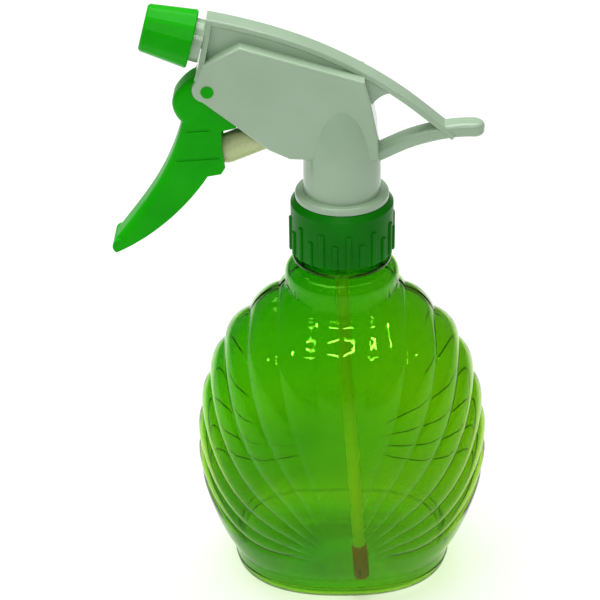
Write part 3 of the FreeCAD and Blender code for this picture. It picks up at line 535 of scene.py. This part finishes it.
def clear_green():
    material, tree, shader = new_material("clear_green_pet")
    place = tree.nodes.new("ShaderNodeTexCoord").outputs["Object"]
    clouds = noise(tree, place, 30.0, 2.0)
    ripple = noise(tree, place, 110.0, 1.0)
    apart = tree.nodes.new("ShaderNodeSeparateXYZ")
    tree.links.new(place, apart.inputs["Vector"])
    # wall green with painted shade by height, then random cloudy tone, then painted light on the right
    green_with_painted_light = by_height(tree, apart.outputs["Z"], WALL_GREEN_AND_PAINTED_SHADE)
    cloudy = between(tree, clouds, 0.0, 0.25, 0.3, 0.7)
    # painted light: the wall turns lighter green towards the right
    painted_light_on_right = between(tree, apart.outputs["X"], 0.0, 0.8, -0.01, 0.05)
    green_with_painted_light = blend_colours(tree, cloudy, green_with_painted_light, CLOUD_TINT)
    green_with_painted_light = blend_colours(tree, painted_light_on_right, green_with_painted_light, RIGHT_PAINTED_LIGHT_TINT)
    tree.links.new(green_with_painted_light, shader.inputs["Base Color"])
    haze = noise(tree, place, 250.0)
    tree.links.new(between(tree, haze, 0.0, 0.05, 0.4, 0.8), shader.inputs["Roughness"])
    shader.inputs["Transmission Weight"].default_value = 1.0
    shader.inputs["IOR"].default_value = 1.45
    shader.inputs["Specular IOR Level"].default_value = 0.28
    shader.inputs["Specular Tint"].default_value = (0.45, 1.0, 0.12, 1)
    bump(tree, shader, ripple, 0.25, 0.0004)
    absorb = tree.nodes.new("ShaderNodeVolumeAbsorption")
    absorb.inputs["Color"].default_value = (0.50, 0.84, 0.02, 1)
    absorb.inputs["Density"].default_value = 150.0
    output = next(n for n in tree.nodes if n.type == "OUTPUT_MATERIAL")
    tree.links.new(absorb.outputs["Volume"], output.inputs["Volume"])
    # light from lamps and matt surfaces passes straight through the wall, or the tube would be black
    clear = tree.nodes.new("ShaderNodeBsdfTransparent")
    clear.inputs["Color"].default_value = (0.98, 0.99, 0.97, 1)
    path = tree.nodes.new("ShaderNodeLightPath")
    surface = shader.outputs["BSDF"]
    for ray in ("Is Diffuse Ray", "Is Shadow Ray"):
        mix = tree.nodes.new("ShaderNodeMixShader")
        tree.links.new(path.outputs[ray], mix.inputs["Fac"])
        tree.links.new(surface, mix.inputs[1])
        tree.links.new(clear.outputs["BSDF"], mix.inputs[2])
        surface = mix.outputs["Shader"]
    tree.links.new(surface, output.inputs["Surface"])
    return material


def steel(name, roughness):
    material, tree, shader = new_material(name)
    place = tree.nodes.new("ShaderNodeTexCoord").outputs["Object"]
    fine = noise(tree, place, 1500.0, 3.0)
    tree.links.new(between(tree, fine, (0.45, 0.46, 0.47), (0.62, 0.63, 0.64), 0.3, 0.7),
                   shader.inputs["Base Color"])
    tree.links.new(between(tree, fine, roughness, roughness + 0.12, 0.3, 0.7),
                   shader.inputs["Roughness"])
    shader.inputs["Metallic"].default_value = 1.0
    return material


def milky(name, dark, light, through, roughness):
    """Natural plastic that lets some light through."""
    material = plastic(name, dark, light, roughness, relief=0.000002)
    shader = next(n for n in material.node_tree.nodes if n.type == "BSDF_PRINCIPLED")
    shader.inputs["Transmission Weight"].default_value = through
    return material


finishes = {
    "bottle_pet": clear_green(),
    "collar_green": plastic("collar_green", (0.001, 0.125, 0.0005), (0.003, 0.18, 0.001), (0.28, 0.4),
                            scatter=0.1, scatter_radius=GREEN_SCATTER, gloss=0.08),
    "head_white": plastic("head_white", (0.305, 0.43, 0.29), (0.35, 0.48, 0.335), (0.10, 0.17),
                          relief=0.000002, scatter=0.1),
    "trigger_green": plastic("trigger_green", (0.003, 0.31, 0.0003), (0.008, 0.41, 0.0006), (0.28, 0.4),
                             scatter=0.1, scatter_radius=GREEN_SCATTER, gloss=0.08),
    "plunger_cream": plastic("plunger_cream", (0.42, 0.50, 0.22), (0.50, 0.58, 0.29), (0.22, 0.32)),
    "natural_plastic": milky("natural_plastic", (0.58, 0.78, 0.48), (0.66, 0.86, 0.58), 0.12, (0.25, 0.4)),
    "filter_brown": plastic("filter_brown", (0.50, 0.06, 0.01), (0.62, 0.10, 0.02), (0.4, 0.55)),
    "spring_steel": steel("spring_steel", 0.18),
    "ball_steel": steel("ball_steel", 0.06),
    "seal_rubber": plastic("seal_rubber", (0.02, 0.02, 0.02), (0.04, 0.04, 0.04), (0.5, 0.65)),
}


def squashed_spring(name):
    """A copy of a spring's coil, fixed to the head, in spring steel."""
    node = nodes[name]
    coil = bpy.data.objects.new(name + "_coil", node.data.copy())
    scene.collection.objects.link(coil)
    coil.matrix_world = node.matrix_world.copy()
    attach(coil, "head")
    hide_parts(name)
    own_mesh(coil)
    paint(coil, finishes["spring_steel"])


def paint(obj, material):
    obj.data.materials.clear()
    obj.data.materials.append(material)


paint(bottle, finishes["bottle_pet"])
squashed_spring("return_spring")
squashed_spring("discharge_spring")
slot_of = {row["node"]: row["material_slot"] for row in frame["record"]["subparts"]}
for name, node in nodes.items():
    if not node.hide_render:
        paint(node, finishes[slot_of[name]])


# ---------------------------------------------------------------- stage, light and camera
def lit_world(colour, strength):
    world = bpy.data.worlds.new("studio")
    world.use_nodes = True
    back = world.node_tree.nodes["Background"]
    back.inputs["Color"].default_value = (*colour, 1)
    back.inputs["Strength"].default_value = strength
    scene.world = world


def softbox(name, location, aim, size, power):
    light = bpy.data.lights.new(name, "AREA")
    light.shape = "RECTANGLE"
    light.size, light.size_y = size
    light.energy = power
    lamp = bpy.data.objects.new(name, light)
    lamp.location = location
    lamp.rotation_euler = (Vector(aim) - Vector(location)).to_track_quat("-Z", "Y").to_euler()
    scene.collection.objects.link(lamp)


def floor():
    bpy.ops.mesh.primitive_plane_add(size=8)
    ground = bpy.context.object
    ground.name = "floor"
    material, tree, shader = new_material("pale_floor")
    place = tree.nodes.new("ShaderNodeTexCoord").outputs["Object"]
    clouds = noise(tree, place, 3.0)
    tree.links.new(between(tree, clouds, (0.90, 0.90, 0.90), (0.93, 0.93, 0.93)),
                   shader.inputs["Base Color"])
    shader.inputs["Roughness"].default_value = 0.9
    shader.inputs["Specular IOR Level"].default_value = 0.0
    paint(ground, material)


floor()
lit_world((1.0, 1.0, 1.0), 0.25)
softbox("overhead", (-0.15, 0.25, 1.3), (0, 0, 0.08), (1.5, 1.1), 21.0)
for side, across in (("left", -0.22), ("right", 0.18)):
    for row, height in enumerate((0.76, 0.88, 1.00, 1.12)):
        softbox(f"flash_{side}_{row}", (across, -1.0, height), (0, 0, 0.1), (0.30, 0.010), 0.45)
softbox("spot_left", (-0.75, -0.75, 0.7), (0, 0, 0.1), (0.07, 0.05), 0.7)
softbox("spot_right", (0.8, -0.7, 0.8), (0, 0, 0.1), (0.09, 0.03), 0.5)

camera_data = bpy.data.cameras.new("camera")
camera = bpy.data.objects.new("camera", camera_data)
scene.collection.objects.link(camera)
camera.location = (0.0, -0.5776, 0.4432)
camera.rotation_euler = (math.radians(59.7), 0, 0)
camera_data.sensor_width = 36.0
camera_data.lens = 119.28
camera_data.shift_x = -0.07
camera_data.clip_start = 0.01
scene.camera = camera
scene.view_settings.view_transform = "Standard"
scene.cycles.caustics_refractive = False
scene.cycles.caustics_reflective = False
scene.cycles.max_bounces = 24
scene.cycles.transmission_bounces = 24
